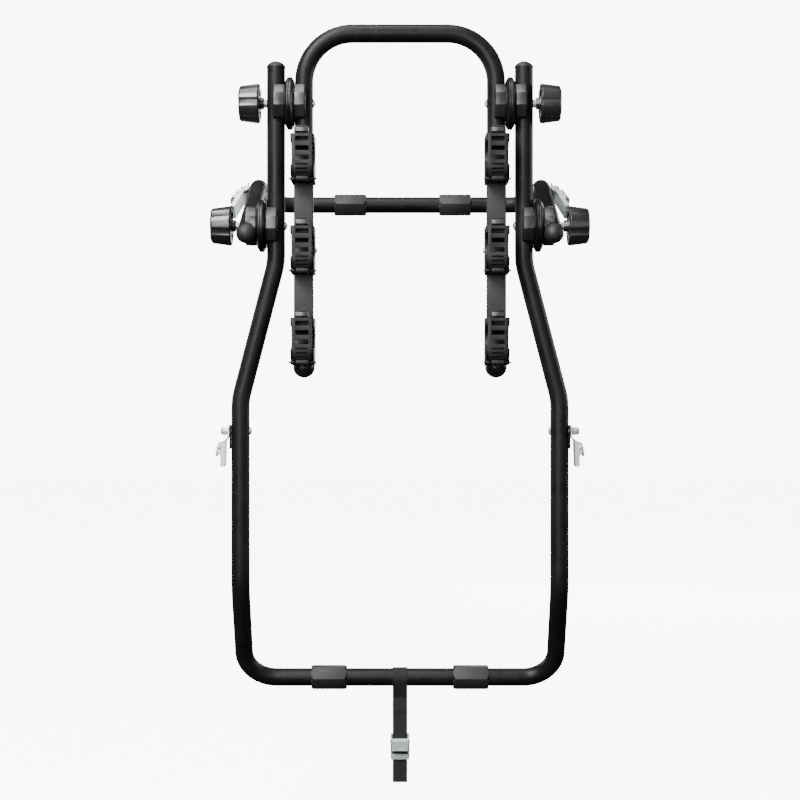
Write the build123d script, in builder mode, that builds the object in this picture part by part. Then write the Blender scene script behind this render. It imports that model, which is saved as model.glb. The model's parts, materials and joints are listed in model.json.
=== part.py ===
"""A trunk mounted bike rack: three bent tube frames, joined by toothed discs, with six cradles.

Millimetres, +Z up. -Y faces the person who loads the bikes and +Y faces the car. The origin is
the middle of the bottom bar's axis. The arms are drawn folded down, as for storage.
"""
from build123d import *
import os
from math import asin, atan, cos, degrees, radians, sin

os.makedirs("parts", exist_ok=True)

# Tube stock, the same for all three frames
tube_d = 30.0
tube_wall = 1.5
tube_r = tube_d / 2
bore_r = tube_r - tube_wall

# Clearances and overrun
seat_gap = 0.3  # between pieces that are seated on each other
run_gap = 0.3  # between pieces that move past each other
pin_gap = 0.1  # round a pin or bolt that something turns on, on the radius
sleeve_gap = 0.1  # round a tube inside a tight sleeve, on the radius
overrun = 1.0  # how far a cut runs past what it cuts

# Main frame: a U of tube that stands in front of its own bottom bar
main_forward = 88.0
main_top_half = 203.7
main_low_half = 262.0
main_top_z = 1016.0
shoulder_z = 695.0
hip_z = 471.0
heel_z = 158.0
main_bend_r = 100.0
foot_bend_r = 53.0
main_y = -main_forward

# Joints: neighbouring tubes stand this far apart, with a disc pair between them
joint_step = 46.0
upper_z = 957.0
lower_z = 756.0
carrier_half = main_top_half - joint_step
support_half = main_top_half + joint_step
sides = {"left": -1, "right": 1}

# Carrier frame: an inverted U whose legs are the two bike arms
carrier_top_z = 1072.0
carrier_bend_r = 80.0

# Support frame: its legs rise to a bend and then run back to the crossbar
support_rise = 24.0  # degrees
support_nose = 37.5  # tube in front of the joint
support_knee = 224.0  # from the joint to the bend
crossbar_back = 412.0  # behind the main frame's plane
crossbar_z = 839.0
knee_bend_r = 100.0
crossbar_bend_r = 55.0
rise_cos = cos(radians(support_rise))
rise_sin = sin(radians(support_rise))

# Domed plugs in the open tube ends
cap_d = 31.0
cap_rim = 2.0
cap_dome = 8.5
ball_cap_d = 32.0
plug_length = 16.0

# Toothed disc halves
rim_d = 86.0
rim_depth = 3.3
lip_w = 4.0  # smooth ring outside the teeth, which hides them
cone_d = 72.0
cone_depth = 7.4
neck_d = 60.0
hub_depth = 9.0
hub_d = 66.0  # across the corners
hub_sides = 10
hub_turn = 24.0  # degrees from level to the first corner
hub_length = 18.0
hub_edge = 2.5
tooth_count = 40
tooth_length = 12.0
tooth_width = 3.4
tooth_height = 1.3
tooth_draft = 25.0  # degrees
tooth_inset = 0.2  # from the lip to a tooth's outer end
tooth_play = 0.3  # between the tips of facing teeth, with the knob slack
bolt_hole_play = 0.3

# Carriage bolts, spacers and knobs
bolt_d = 8.0
bolt_head_d = 14.0
bolt_head_h = 4.0
bolt_in_knob = 28.0
spacer_d = 13.0
spacer_length = 4.0
knob_neck_d = 19.0
knob_neck = 6.5
knob_big_d = 66.0
knob_small_d = 57.0
knob_length = 34.0
knob_taper = degrees(atan((knob_big_d - knob_small_d) / 2 / knob_length))
knob_edge = 2.5
knob_crown = 1.5  # the outer face is dished by this much
knob_dish_d = 38.0
dish_draft = 25.0  # degrees
knob_back_recess = 12.0
knob_back_wall = 6.0
knob_hub_d = 27.0
lobe_count = 6
flute_half_angle = 11.0  # degrees
flute_depth = 2.0
upper_knob_turn = 25.0  # degrees
lower_knob_turn = -21.0

# Pads on the bottom bar and on the crossbar
pad_across = 37.7
pad_length = 60.0
pad_sides = 6
notch_deep = 3.8  # into the pad's end, at each of its six corners
notch_half_w = 6.7
bumper_pad_at = 120.0
window_pad_at = 99.0
window_pad_shift = 5.0

# Cradles: heights are above each cradle's strap pin, depths are in front of the arm's axis
cradle_low_z = 530.8
cradle_pitch = 148.5
cradle_count = 3
cradle_wall = 3.7
cradle_foot = 3.5
cradle_top = 72.0
cradle_back_r = 13.0
saddle_r = 18.5
saddle_depth = 43.0
saddle_z = 40.5
lip_chamfer = 2.0
boss_w = 20.0
boss_top = 82.0
boss_root = 24.0
boss_crest = 12.0
peg_w = 20.4
peg_h = 8.0
peg_z = 77.0
peg_proud = 3.0
peg_edge = 1.5
ear_r = 3.6
horn_cut_angle = 60.0  # degrees below level, where the lower horn's round ends
pocket_w = 23.0  # hollows in the fronts of both horns, behind the strap's openings
pocket_h = 8.0
pocket_deep = 14.0
upper_pocket_z = 65.5
lower_pocket_z = 14.5

# Ladder straps
strap_front = 60.0
strap_t = 3.5
strap_w = 32.0
strap_low_w = 28.0
strap_head_w = 25.6  # the ring that goes round the peg
strap_shoulder_z = 71.0
strap_top = 84.0
strap_corner = 6.0
strap_taper_z = 22.0
wrap_r = 24.0
wrap_angle = 70.0  # degrees
window_w = 21.5
window_h = 7.4
window_pitch = 15.1
window_count = 3
first_window_z = 62.75
slit_w = 20.0
slit_h = 2.6
slit_pitch = 6.5
slit_count = 3
first_slit_z = 21.4
peg_window_w = 21.4
peg_window_low = 71.8
peg_window_high = 82.2
eye_r = 4.5
eye_w = 20.0
notch_r = 7.0
pin_d = 3.0
pin_length = 45.0

# Flat-fronted sleeves between the cradles, and the arms' end caps
cover_half = 15.8
cover_front = 18.5
cover_corner = 2.0
arm_cap_r = 18.0
arm_cap_collar = 2.5
arm_socket = 9.0

# Cam buckles: a bent steel frame, an axle and a toothed cam with its lever
buckle_plate = 2.0
buckle_w = 32.0
buckle_length = 43.0
cheek_t = 2.0
cheek_high = 12.5
cheek_start = 5.0
cheek_end = 19.0
cheek_foot = 27.0
front_bar_high = 7.0
front_bar_length = 9.0
axle_d = 4.0
axle_along = 12.0
web_room = 2.2
cam_r = 5.0
cam_side_play = 0.5
cam_teeth = 4
cam_tooth = 1.6
cam_tooth_step = 24.0  # degrees
lever_t = 1.8
lever_reach = 15.0
lever_rise = 1.4
tang_w = 24.0
tang_above = 10.0
tang_below = 9.0
tang_jog = 6.0
tang_corner = 8.0
side_bolt_z = 419.0
backing_above = 10.0
backing_below = 29.0
backing_w = 20.0
backing_t = 2.0
nut_across = 13.0
nut_length = 8.0
nut_dome = 4.5
leg_bolt_along = 207.0
leg_buckle_droop = 54.0  # degrees below level, towards the front
leg_buckle_lean = 22.0  # degrees outwards
side_buckle_lean = 2.0

# Webbing strap on the bottom bar
web_w = 25.0
web_t = 1.5
web_end_z = -179.0
web_gather = 34.0
strap_buckle_z = -96.0


def finish(piece, name):
    """Label a finished piece and write it to its own file."""
    piece.part.label = name
    export_step(piece.part, f"parts/{name}.step")


def polar(radius, angle):
    """The point at a radius and an angle in degrees."""
    return (radius * cos(radians(angle)), radius * sin(radians(angle)))


def swept_tube(points, radii, holes):
    """A tube along filleted runs, with cross holes for bolts along X at the given places."""
    with BuildPart() as tube:
        with BuildLine() as path:
            FilletPolyline(*points, radius=radii)
        with BuildSketch(Plane(origin=path.line @ 0, z_dir=path.line % 0)):
            Circle(tube_r)
            Circle(bore_r, mode=Mode.SUBTRACT)
        sweep()
        for place in holes:
            with BuildSketch(Plane(origin=place, z_dir=(1, 0, 0))):
                Circle(bolt_d / 2 + bolt_hole_play)
            extrude(amount=tube_d, both=True, mode=Mode.SUBTRACT)
    return tube


def end_plug(tips, outward, base_d, dome_h):
    """Domed plugs, one in each open tube end. outward is the way that the tube ends point."""
    base_r = base_d / 2
    sphere_r = (base_r**2 + dome_h**2) / (2 * dome_h)
    start = degrees(asin((sphere_r - dome_h) / sphere_r))
    with BuildPart() as plugs:
        for tip in tips:
            frame = Plane(origin=tip, x_dir=(1, 0, 0), z_dir=Vector(1, 0, 0).cross(outward))
            with BuildSketch(frame):
                with BuildLine():
                    top = CenterArc((0, cap_rim + dome_h - sphere_r), sphere_r, start, 90 - start)
                    Polyline(
                        top @ 1,
                        (0, -plug_length),
                        (bore_r - seat_gap, -plug_length),
                        (bore_r - seat_gap, 0),
                        (base_r, 0),
                        top @ 0,
                    )
                make_face()
            revolve(axis=Axis(tip, outward))
    return plugs


def disc_half(centre, outward, tube_way, drill_play):
    """One half of a toothed joint: face teeth inside a lip, cone, and a ten-sided hub on its tube.

    centre is where the joint's axis meets the seam, and outward is 1 or -1, along X, to the tube.
    """
    axis_way = Vector(outward, 0, 0)
    section = Plane(origin=centre, x_dir=(0, -1, 0), z_dir=(0, 0, outward))
    seam = Plane(origin=centre, x_dir=(0, -1, 0), z_dir=axis_way)
    root = tooth_play / 2 + tooth_height
    lip_r = rim_d / 2 - lip_w
    hole_r = bolt_d / 2 + drill_play
    hub_end = hub_depth + hub_length
    with BuildPart() as disc:
        with BuildSketch(section):
            with BuildLine():
                Polyline(
                    (hole_r, root),
                    (lip_r, root),
                    (lip_r, tooth_play / 2),
                    (rim_d / 2, tooth_play / 2),
                    (rim_d / 2, rim_depth),
                    (cone_d / 2, cone_depth),
                    (neck_d / 2, cone_depth),
                    (neck_d / 2, hub_depth),
                    (hole_r, hub_depth),
                    close=True,
                )
            make_face()
        revolve(axis=Axis(centre, axis_way))
        with BuildSketch(seam.offset(hub_depth)):
            RegularPolygon(hub_d / 2, hub_sides, rotation=-outward * hub_turn)
            Circle(hole_r, mode=Mode.SUBTRACT)
        extrude(amount=hub_length)
        ends = disc.faces().filter_by(Axis.X).sort_by(Axis((0, 0, 0), axis_way))[-1]
        chamfer(ends.outer_wire().edges(), hub_edge)
        with BuildSketch(seam.offset(root)):
            with PolarLocations(lip_r - tooth_inset - tooth_length / 2, tooth_count):
                Rectangle(tooth_length, tooth_width)
        extrude(amount=-tooth_height, taper=tooth_draft)
        saddle = centre + axis_way * (joint_step / 2)
        with BuildSketch(Plane(origin=saddle, z_dir=tube_way)):
            Circle(tube_r + sleeve_gap)
        extrude(amount=hub_end + rim_d, both=True, mode=Mode.SUBTRACT)
    return disc


def carriage_bolts(heads, length, way_of):
    """Round-headed bolts along X. heads are the places under each head."""
    with BuildPart() as bolts:
        for side, head in heads.items():
            way = Vector(way_of * sides[side], 0, 0)
            frame = Plane(origin=head, x_dir=(0, -1, 0), z_dir=(0, 0, way.X))
            sphere_r = ((bolt_head_d / 2) ** 2 + bolt_head_h**2) / (2 * bolt_head_h)
            start = degrees(asin((sphere_r - bolt_head_h) / sphere_r))
            with BuildSketch(frame):
                with BuildLine():
                    dome = CenterArc((0, sphere_r - bolt_head_h), sphere_r, 270, 90 - start)
                    Polyline(
                        dome @ 1,
                        (bolt_d / 2, 0),
                        (bolt_d / 2, length),
                        (0, length),
                        dome @ 0,
                    )
                make_face()
            revolve(axis=Axis(head, way))
    return bolts


def spacers(seats):
    """Short steel spacers between a tube and its knobs."""
    with BuildPart() as rings:
        for side, seat in seats.items():
            with BuildSketch(Plane(origin=seat, z_dir=(sides[side], 0, 0))):
                Circle(spacer_d / 2)
                Circle(bolt_d / 2 + bolt_hole_play, mode=Mode.SUBTRACT)
            extrude(amount=spacer_length)
    return rings


def lobed_outline(radius, turn):
    """A closed outline of lobes with shallow flutes between them, turned by an angle in degrees."""
    lobe_angle = 360 / lobe_count
    with BuildSketch() as outline:
        with BuildLine():
            for lobe in range(lobe_count):
                middle = turn + lobe * lobe_angle
                low, high = middle - flute_half_angle, middle + flute_half_angle
                ThreePointArc(polar(radius, low), polar(radius - flute_depth, middle), polar(radius, high))
                CenterArc((0, 0), radius, high, lobe_angle - 2 * flute_half_angle)
        make_face()
    return outline.sketch


def knob(seat, outward, turn):
    """A lobed hand knob on its bolt: hollow at the back round a hub, with a dished outer face."""
    back = Plane(origin=seat, x_dir=(0, -1, 0), z_dir=(outward, 0, 0))
    grip_start = knob_neck
    grip_end = knob_neck + knob_length
    lobe_turn = -outward * turn
    with BuildPart() as grip:
        with BuildSketch(back.offset(grip_start)):
            add(lobed_outline(knob_big_d / 2, lobe_turn))
        extrude(amount=knob_length, taper=knob_taper)
        chamfer(grip.faces().filter_by(Axis.X).edges(), knob_edge)
        with BuildSketch(back.offset(grip_start)):
            Circle(knob_big_d / 2 - knob_back_wall - knob_edge)
            Circle(knob_hub_d / 2, mode=Mode.SUBTRACT)
        extrude(amount=knob_back_recess, mode=Mode.SUBTRACT)
        with BuildSketch(back.offset(grip_end)):
            Circle(knob_dish_d / 2)
        extrude(amount=-knob_crown, taper=dish_draft, mode=Mode.SUBTRACT)
        with BuildSketch(back):
            Circle(knob_neck_d / 2)
        extrude(amount=knob_neck + knob_edge)
        with BuildSketch(back):
            Circle(bolt_d / 2 + pin_gap)
        extrude(amount=bolt_in_knob + overrun, mode=Mode.SUBTRACT)
    return grip


def pad(centre):
    """A six-sided rubber pad round a crossbar, an edge to the front, notched at its corners' ends."""
    corner_r = pad_across / 2 / cos(radians(180 / pad_sides))
    section = Plane(origin=centre, x_dir=(0, -1, 0), z_dir=(1, 0, 0))
    with BuildPart() as rubber:
        with BuildSketch(section):
            RegularPolygon(corner_r, pad_sides)
        extrude(amount=pad_length / 2, both=True)
        for end in (-pad_length / 2, pad_length / 2):
            for corner in range(pad_sides):
                across, up = polar(1, corner * 360 / pad_sides)
                outward = section.x_dir * across + section.y_dir * up
                place = section.origin + outward * corner_r + section.z_dir * end
                with BuildSketch(Plane(origin=place, x_dir=section.z_dir, z_dir=outward)):
                    with BuildLine():
                        Polyline(
                            (notch_deep, 0),
                            (0, notch_half_w),
                            (-notch_deep, 0),
                            (0, -notch_half_w),
                            close=True,
                        )
                    make_face()
                extrude(amount=corner_r - tube_r, both=True, mode=Mode.SUBTRACT)
        with BuildSketch(section):
            Circle(tube_r + sleeve_gap)
        extrude(amount=pad_length, both=True, mode=Mode.SUBTRACT)
    return rubber


# The strap wraps the lower horn about this centre, and the pin lies on its middle line
wrap_depth = strap_front - wrap_r
wrap_middle = wrap_r - strap_t / 2
wrap_height = wrap_middle * sin(radians(wrap_angle))
pin_depth = wrap_depth + wrap_middle * cos(radians(wrap_angle))
horn_front = strap_front - strap_t - seat_gap
horn_r = wrap_r - strap_t - seat_gap


def arm_side(side, height):
    """The plane across an arm: its x runs forward from the arm's axis and its y runs up."""
    place = (sides[side] * carrier_half, main_y, height)
    return Plane(origin=place, x_dir=(0, -1, 0), z_dir=(-1, 0, 0))


def cradle(side, height):
    """A moulded cradle that sleeves the arm: saddle between two horns, peg above, strap ears below."""
    profile = arm_side(side, height)
    half_w = tube_r + seat_gap + cradle_wall
    foot_end = polar(horn_r, -horn_cut_angle)
    foot = (wrap_depth + foot_end[0], wrap_height + foot_end[1])
    saddle_low, saddle_high = saddle_z - saddle_r, saddle_z + saddle_r
    with BuildPart() as body:
        with BuildSketch(profile):
            with BuildLine():
                horn = CenterArc((wrap_depth, wrap_height), horn_r, -horn_cut_angle, horn_cut_angle)
                bowl = CenterArc((saddle_depth, saddle_z), saddle_r, 90, 180)
                Polyline(horn @ 1, (horn_front - lip_chamfer, saddle_low), bowl @ 1)
                Polyline(
                    bowl @ 0,
                    (horn_front - lip_chamfer, saddle_high),
                    (horn_front, saddle_high + lip_chamfer),
                    (horn_front, cradle_top),
                    (-half_w, cradle_top),
                    (-half_w, -cradle_foot),
                    (wrap_depth - cradle_foot, -cradle_foot),
                    foot,
                )
            make_face()
        extrude(amount=half_w, both=True)
        rear = body.edges().filter_by(Axis.Z).group_by(Axis.Y)[-1]
        fillet(rear, cradle_back_r)
        with BuildSketch(profile):
            with BuildLine():
                Polyline(
                    (boss_root, cradle_top),
                    (horn_front, cradle_top),
                    (horn_front, boss_top),
                    (horn_front - boss_crest, boss_top),
                    close=True,
                )
            make_face()
        extrude(amount=boss_w / 2, both=True)
        with BuildSketch(profile):
            with Locations((horn_front, upper_pocket_z), (horn_front, lower_pocket_z)):
                Rectangle(2 * pocket_deep, pocket_h)
        extrude(amount=pocket_w / 2, both=True, mode=Mode.SUBTRACT)
        with BuildSketch(profile):
            with Locations((pin_depth, 0)):
                Circle(ear_r)
        extrude(amount=half_w, both=True)
        with BuildSketch(profile):
            with Locations((pin_depth, 0)):
                Circle(eye_r + run_gap)
            with Locations((pin_depth + eye_r, 0)):
                Rectangle(2 * eye_r, 2 * (eye_r + run_gap))
        extrude(amount=eye_w / 2 + run_gap, both=True, mode=Mode.SUBTRACT)
        with BuildSketch(profile):
            with Locations(((horn_front + strap_front + peg_proud) / 2, peg_z)):
                RectangleRounded(strap_front + peg_proud - horn_front, peg_h, peg_edge)
            with Locations((horn_front, peg_z)):
                Rectangle(2 * peg_edge, peg_h)
        extrude(amount=peg_w / 2, both=True)
        with BuildSketch(profile):
            with Locations((pin_depth, 0)):
                Circle(pin_d / 2 + pin_gap)
        extrude(amount=half_w + overrun, both=True, mode=Mode.SUBTRACT)
        with BuildSketch(Plane(origin=profile.origin)):
            Circle(tube_r + seat_gap)
        extrude(amount=boss_top + cradle_foot, both=True, mode=Mode.SUBTRACT)
    return body


def ladder_strap(side, height):
    """A rubber ladder strap: flat in front, wrapped round the lower horn to an eye on its pin."""
    profile = arm_side(side, height)
    arm_x = sides[side] * carrier_half
    back_r = wrap_r - strap_t
    with BuildPart() as strap:
        with BuildSketch(profile):
            with BuildLine():
                outer = CenterArc((wrap_depth, wrap_height), wrap_r, -wrap_angle, wrap_angle)
                inner = CenterArc((wrap_depth, wrap_height), back_r, -wrap_angle, wrap_angle)
                Line(outer @ 0, inner @ 0)
                Polyline(
                    outer @ 1,
                    (strap_front, strap_top),
                    (strap_front - strap_t, strap_top),
                    inner @ 1,
                )
            make_face()
        extrude(amount=strap_w / 2, both=True)
        front = Plane(origin=(arm_x, main_y - strap_front, height), x_dir=(1, 0, 0), z_dir=(0, -1, 0))
        with BuildSketch(front) as outline:
            with BuildLine():
                Polyline(
                    (-strap_low_w / 2, -eye_r),
                    (strap_low_w / 2, -eye_r),
                    (strap_w / 2, strap_taper_z),
                    (strap_w / 2, strap_shoulder_z),
                    (strap_head_w / 2, strap_shoulder_z),
                    (strap_head_w / 2, strap_top),
                    (-strap_head_w / 2, strap_top),
                    (-strap_head_w / 2, strap_shoulder_z),
                    (-strap_w / 2, strap_shoulder_z),
                    (-strap_w / 2, strap_taper_z),
                    close=True,
                )
            make_face()
            fillet(outline.vertices().group_by(Axis.Y)[-1], strap_corner)
        extrude(amount=-strap_front, mode=Mode.INTERSECT)
        with BuildSketch(profile):
            with Locations((pin_depth, 0)):
                Circle(notch_r)
        extrude(amount=strap_w, both=True, mode=Mode.SUBTRACT)
        with BuildSketch(profile):
            with BuildLine():
                outer = CenterArc((wrap_depth, wrap_height), wrap_r, -wrap_angle, wrap_angle / 2)
                inner = CenterArc((wrap_depth, wrap_height), back_r, -wrap_angle, wrap_angle / 2)
                Line(outer @ 0, inner @ 0)
                Line(outer @ 1, inner @ 1)
            make_face()
            with Locations((pin_depth, 0)):
                Circle(eye_r)
        extrude(amount=eye_w / 2, both=True)
        with BuildSketch(profile):
            with Locations((pin_depth, 0)):
                Circle(pin_d / 2 + pin_gap)
        extrude(amount=eye_w, both=True, mode=Mode.SUBTRACT)
        windows = [(first_window_z - n * window_pitch, window_w, window_h) for n in range(window_count)]
        slits = [(first_slit_z - n * slit_pitch, slit_w, slit_h) for n in range(slit_count)]
        for level, opening_w, opening_h in windows + slits:
            with BuildSketch(opening_plane(front, level)):
                Rectangle(opening_w, opening_h)
            extrude(amount=strap_t + overrun, both=True, mode=Mode.SUBTRACT)
        with BuildSketch(front):
            with Locations((0, (peg_window_low + peg_window_high) / 2)):
                RectangleRounded(peg_window_w, peg_window_high - peg_window_low, peg_edge)
        extrude(amount=strap_t + overrun, both=True, mode=Mode.SUBTRACT)
    return strap


def opening_plane(front, level):
    """Where an opening of the ladder lies. Its level runs down the flat front and on along the wrap."""
    run = wrap_height - level
    turn = degrees(max(run, 0) / wrap_middle)
    depth, height = polar(wrap_r, -turn)
    place = front.origin + Vector(0, wrap_r - depth, wrap_height + height - min(run, 0))
    return Plane(origin=place, x_dir=(1, 0, 0), z_dir=(0, -cos(radians(turn)), -sin(radians(turn))))


def arm_cover(side):
    """Flat-fronted sleeves on one arm, one between each two cradles."""
    with BuildPart() as cover:
        for number in range(cradle_count - 1):
            low = cradle_low_z + number * cradle_pitch + cradle_top + seat_gap
            high = cradle_low_z + (number + 1) * cradle_pitch - cradle_foot - seat_gap
            place = (sides[side] * carrier_half, main_y, low)
            with BuildSketch(Plane(origin=place)) as outline:
                Circle(cover_half)
                with Locations((0, -cover_front / 2)):
                    Rectangle(2 * cover_half, cover_front)
                fillet(outline.vertices().group_by(Axis.Y)[0], cover_corner)
                Circle(tube_r + sleeve_gap, mode=Mode.SUBTRACT)
            extrude(amount=high - low)
    return cover


# The arms' caps meet the lowest cradles, and the arms end inside them
arm_cap_z = cradle_low_z - cradle_foot - seat_gap
arm_end_z = arm_cap_z - arm_socket + seat_gap


def arm_caps():
    """Round socket caps on the ends of both arms."""
    with BuildPart() as caps:
        for side in sides.values():
            top = Vector(side * carrier_half, main_y, arm_cap_z)
            with BuildSketch(Plane(origin=top, x_dir=(1, 0, 0), z_dir=(0, -1, 0))):
                with BuildLine():
                    dome = CenterArc((0, -arm_cap_collar), arm_cap_r, -90, 90)
                    Polyline(
                        dome @ 1,
                        (arm_cap_r, 0),
                        (tube_r + sleeve_gap, 0),
                        (tube_r + sleeve_gap, -arm_socket),
                        (0, -arm_socket),
                        dome @ 0,
                    )
                make_face()
            revolve(axis=Axis(top, (0, 0, 1)))
    return caps


def buckle_planes(seat, way, outward, lean):
    """A buckle's tang plane and frame plane: x along the strap, y away from the tube, z across."""
    tang = Plane(origin=seat, x_dir=way, z_dir=way.cross(outward))
    start = seat + way * (tang_below + tang_jog) + outward * tang_jog
    along = way * cos(radians(lean)) + outward * sin(radians(lean))
    return tang, Plane(origin=start, x_dir=along, z_dir=way.cross(outward))


axle_high = buckle_plate + web_room + cam_r


def buckle_frame(frame, tang=None):
    """A pressed buckle frame: base plate, two cheeks, riveted axle, front bar and, on a bolt, a tang."""
    inside = buckle_w - 2 * cheek_t
    with BuildPart() as pressing:
        with BuildSketch(frame):
            with BuildLine():
                Polyline(
                    (0, 0),
                    (0, buckle_plate),
                    (cheek_start, cheek_high),
                    (cheek_end, cheek_high),
                    (cheek_foot, front_bar_high),
                    (buckle_length, front_bar_high),
                    (buckle_length, 0),
                    close=True,
                )
            make_face()
        extrude(amount=buckle_w / 2, both=True)
        with BuildSketch(frame):
            with Locations((buckle_length / 2, buckle_plate + cheek_high)):
                Rectangle(buckle_length + 2 * overrun, 2 * cheek_high)
        extrude(amount=inside / 2, both=True, mode=Mode.SUBTRACT)
        with BuildSketch(frame):
            with Locations((buckle_length - front_bar_length / 2, front_bar_high - buckle_plate / 2)):
                Rectangle(front_bar_length, buckle_plate)
            with Locations((axle_along, axle_high)):
                Circle(axle_d / 2)
        extrude(amount=buckle_w / 2, both=True)
        if tang:
            jog_end = (tang_below + tang_jog, tang_jog)
            with BuildSketch(tang):
                with BuildLine():
                    Polyline(
                        (-tang_above, 0),
                        (tang_below, 0),
                        jog_end,
                        (jog_end[0], jog_end[1] + buckle_plate),
                        (tang_below, buckle_plate),
                        (-tang_above, buckle_plate),
                        close=True,
                    )
                make_face()
            extrude(amount=tang_w / 2, both=True)
            ends = pressing.edges().filter_by(Axis(tang.origin, tang.y_dir))
            fillet(ends.sort_by(Axis(tang.origin, -tang.x_dir))[-2:], tang_corner)
            with BuildSketch(Plane(origin=tang.origin, z_dir=tang.y_dir)):
                Circle(bolt_d / 2 + pin_gap)
            extrude(amount=2 * buckle_plate, both=True, mode=Mode.SUBTRACT)
    return pressing


def cam_lever(frame):
    """A toothed cam on the buckle's axle, with the thumb lever that lifts it off the webbing."""
    half_w = buckle_w / 2 - cheek_t - cam_side_play
    axle = (axle_along, axle_high)
    top = axle_high + cam_r
    with BuildPart() as cam:
        with BuildSketch(frame):
            with Locations(axle):
                Circle(cam_r)
                for number in range(cam_teeth):
                    angle = -90 + (number - (cam_teeth - 1) / 2) * cam_tooth_step
                    with Locations(polar(cam_r, angle)):
                        Rectangle(cam_tooth, cam_tooth, rotation=angle + 45, mode=Mode.SUBTRACT)
            with BuildLine():
                Polyline(
                    (axle_along, top - lever_t),
                    (axle_along + lever_reach, top + lever_rise - lever_t),
                    (axle_along + lever_reach, top + lever_rise),
                    (axle_along, top),
                    close=True,
                )
            make_face()
            with Locations(axle):
                Circle(axle_d / 2 + pin_gap, mode=Mode.SUBTRACT)
        extrude(amount=half_w, both=True)
    return cam


def buckle_bolts(places, stack):
    """Round-headed bolts through a tube along X, each with its cap nut outside the buckle."""
    grip = tube_r + stack
    with BuildPart() as fasteners:
        heads = {side: place - Vector(sides[side] * tube_r, 0, 0) for side, place in places.items()}
        add(carriage_bolts(heads, tube_r + grip + nut_length, 1).part)
        for side, place in places.items():
            seat = place + Vector(sides[side] * grip, 0, 0)
            face = Plane(origin=seat, x_dir=(0, -1, 0), z_dir=(sides[side], 0, 0))
            with BuildSketch(face):
                RegularPolygon(nut_across / 2, 6, major_radius=False)
            extrude(amount=nut_length)
            with BuildSketch(face.offset(nut_length)):
                Circle(nut_across / 2)
            extrude(amount=nut_dome, taper=tooth_draft)
    return fasteners


def drop_outline(radius, tip, tip_half):
    """A round outline drawn in to a narrow tip below it."""
    with BuildSketch() as drop:
        with BuildLine():
            CenterArc((0, 0), radius, 0, 360)
            Line((-tip_half, tip), (tip_half, tip))
        make_hull()
    return drop.sketch


def webbing():
    """The webbing: a stitched loop round the bottom bar and a tail through the buckle."""
    loop_r = tube_r + seat_gap
    with BuildPart() as strap:
        with BuildSketch(Plane(origin=(0, 0, 0), x_dir=(0, -1, 0), z_dir=(-1, 0, 0))):
            add(drop_outline(loop_r + web_t, -web_gather, web_t))
            add(drop_outline(loop_r, web_t - web_gather, seat_gap), mode=Mode.SUBTRACT)
            with Locations((0, (web_end_z - web_gather) / 2)):
                Rectangle(web_t, -web_gather - web_end_z)
        extrude(amount=web_w / 2, both=True)
    return strap


def mirrored_run(half_run):
    """A run of points from the left side, followed by its mirror image on the right."""
    return [(-x, y, z) for x, y, z in half_run] + [(x, y, z) for x, y, z in reversed(half_run)]


def both(half, y, z):
    """The same place on both sides."""
    return {side: Vector(way * half, y, z) for side, way in sides.items()}


def build_frames():
    """The three bent tubes, each with the cross holes for its bolts."""
    main_run = [
        (main_top_half, main_y, main_top_z),
        (main_top_half, main_y, shoulder_z),
        (main_low_half, main_y, hip_z),
        (main_low_half, main_y, heel_z),
        (main_low_half, 0, 0),
    ]
    main_radii = 3 * [main_bend_r] + 2 * [foot_bend_r] + 3 * [main_bend_r]
    main_holes = [*both(main_top_half, main_y, upper_z).values()]
    main_holes += both(main_top_half, main_y, lower_z).values()
    main_holes += both(main_low_half, main_y, side_bolt_z).values()
    finish(swept_tube(mirrored_run(main_run), main_radii, main_holes), "main_tube")

    carrier_run = [(carrier_half, main_y, arm_end_z), (carrier_half, main_y, carrier_top_z)]
    carrier_holes = both(carrier_half, main_y, upper_z).values()
    carrier = swept_tube(mirrored_run(carrier_run), 2 * [carrier_bend_r], carrier_holes)
    finish(carrier, "carrier_tube")

    nose = lower_pivot - leg_way * support_nose
    knee = lower_pivot + leg_way * support_knee
    support_run = [
        (support_half, nose.Y, nose.Z),
        (support_half, knee.Y, knee.Z),
        (support_half, main_y + crossbar_back, crossbar_z),
    ]
    support_radii = [knee_bend_r, crossbar_bend_r, crossbar_bend_r, knee_bend_r]
    support_holes = [*both(support_half, main_y, lower_z).values()]
    support_holes += both(support_half, leg_bolt.Y, leg_bolt.Z).values()
    finish(swept_tube(mirrored_run(support_run), support_radii, support_holes), "support_tube")


def build_caps_and_pads():
    """Plugs and caps in the tube ends, and the rubber pads that meet the car."""
    main_tips = both(main_top_half, main_y, main_top_z).values()
    finish(end_plug(main_tips, upright, cap_d, cap_dome), "main_end_caps")
    nose = lower_pivot - leg_way * support_nose
    support_tips = both(support_half, nose.Y, nose.Z).values()
    finish(end_plug(support_tips, -leg_way, ball_cap_d, ball_cap_d / 2), "support_end_caps")
    finish(arm_caps(), "arm_end_caps")
    for side, way in sides.items():
        finish(pad((way * bumper_pad_at, 0, 0)), f"bumper_pad_{side}")
        window_x = way * window_pad_at + window_pad_shift
        finish(pad((window_x, main_y + crossbar_back, crossbar_z)), f"window_pad_{side}")


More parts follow.
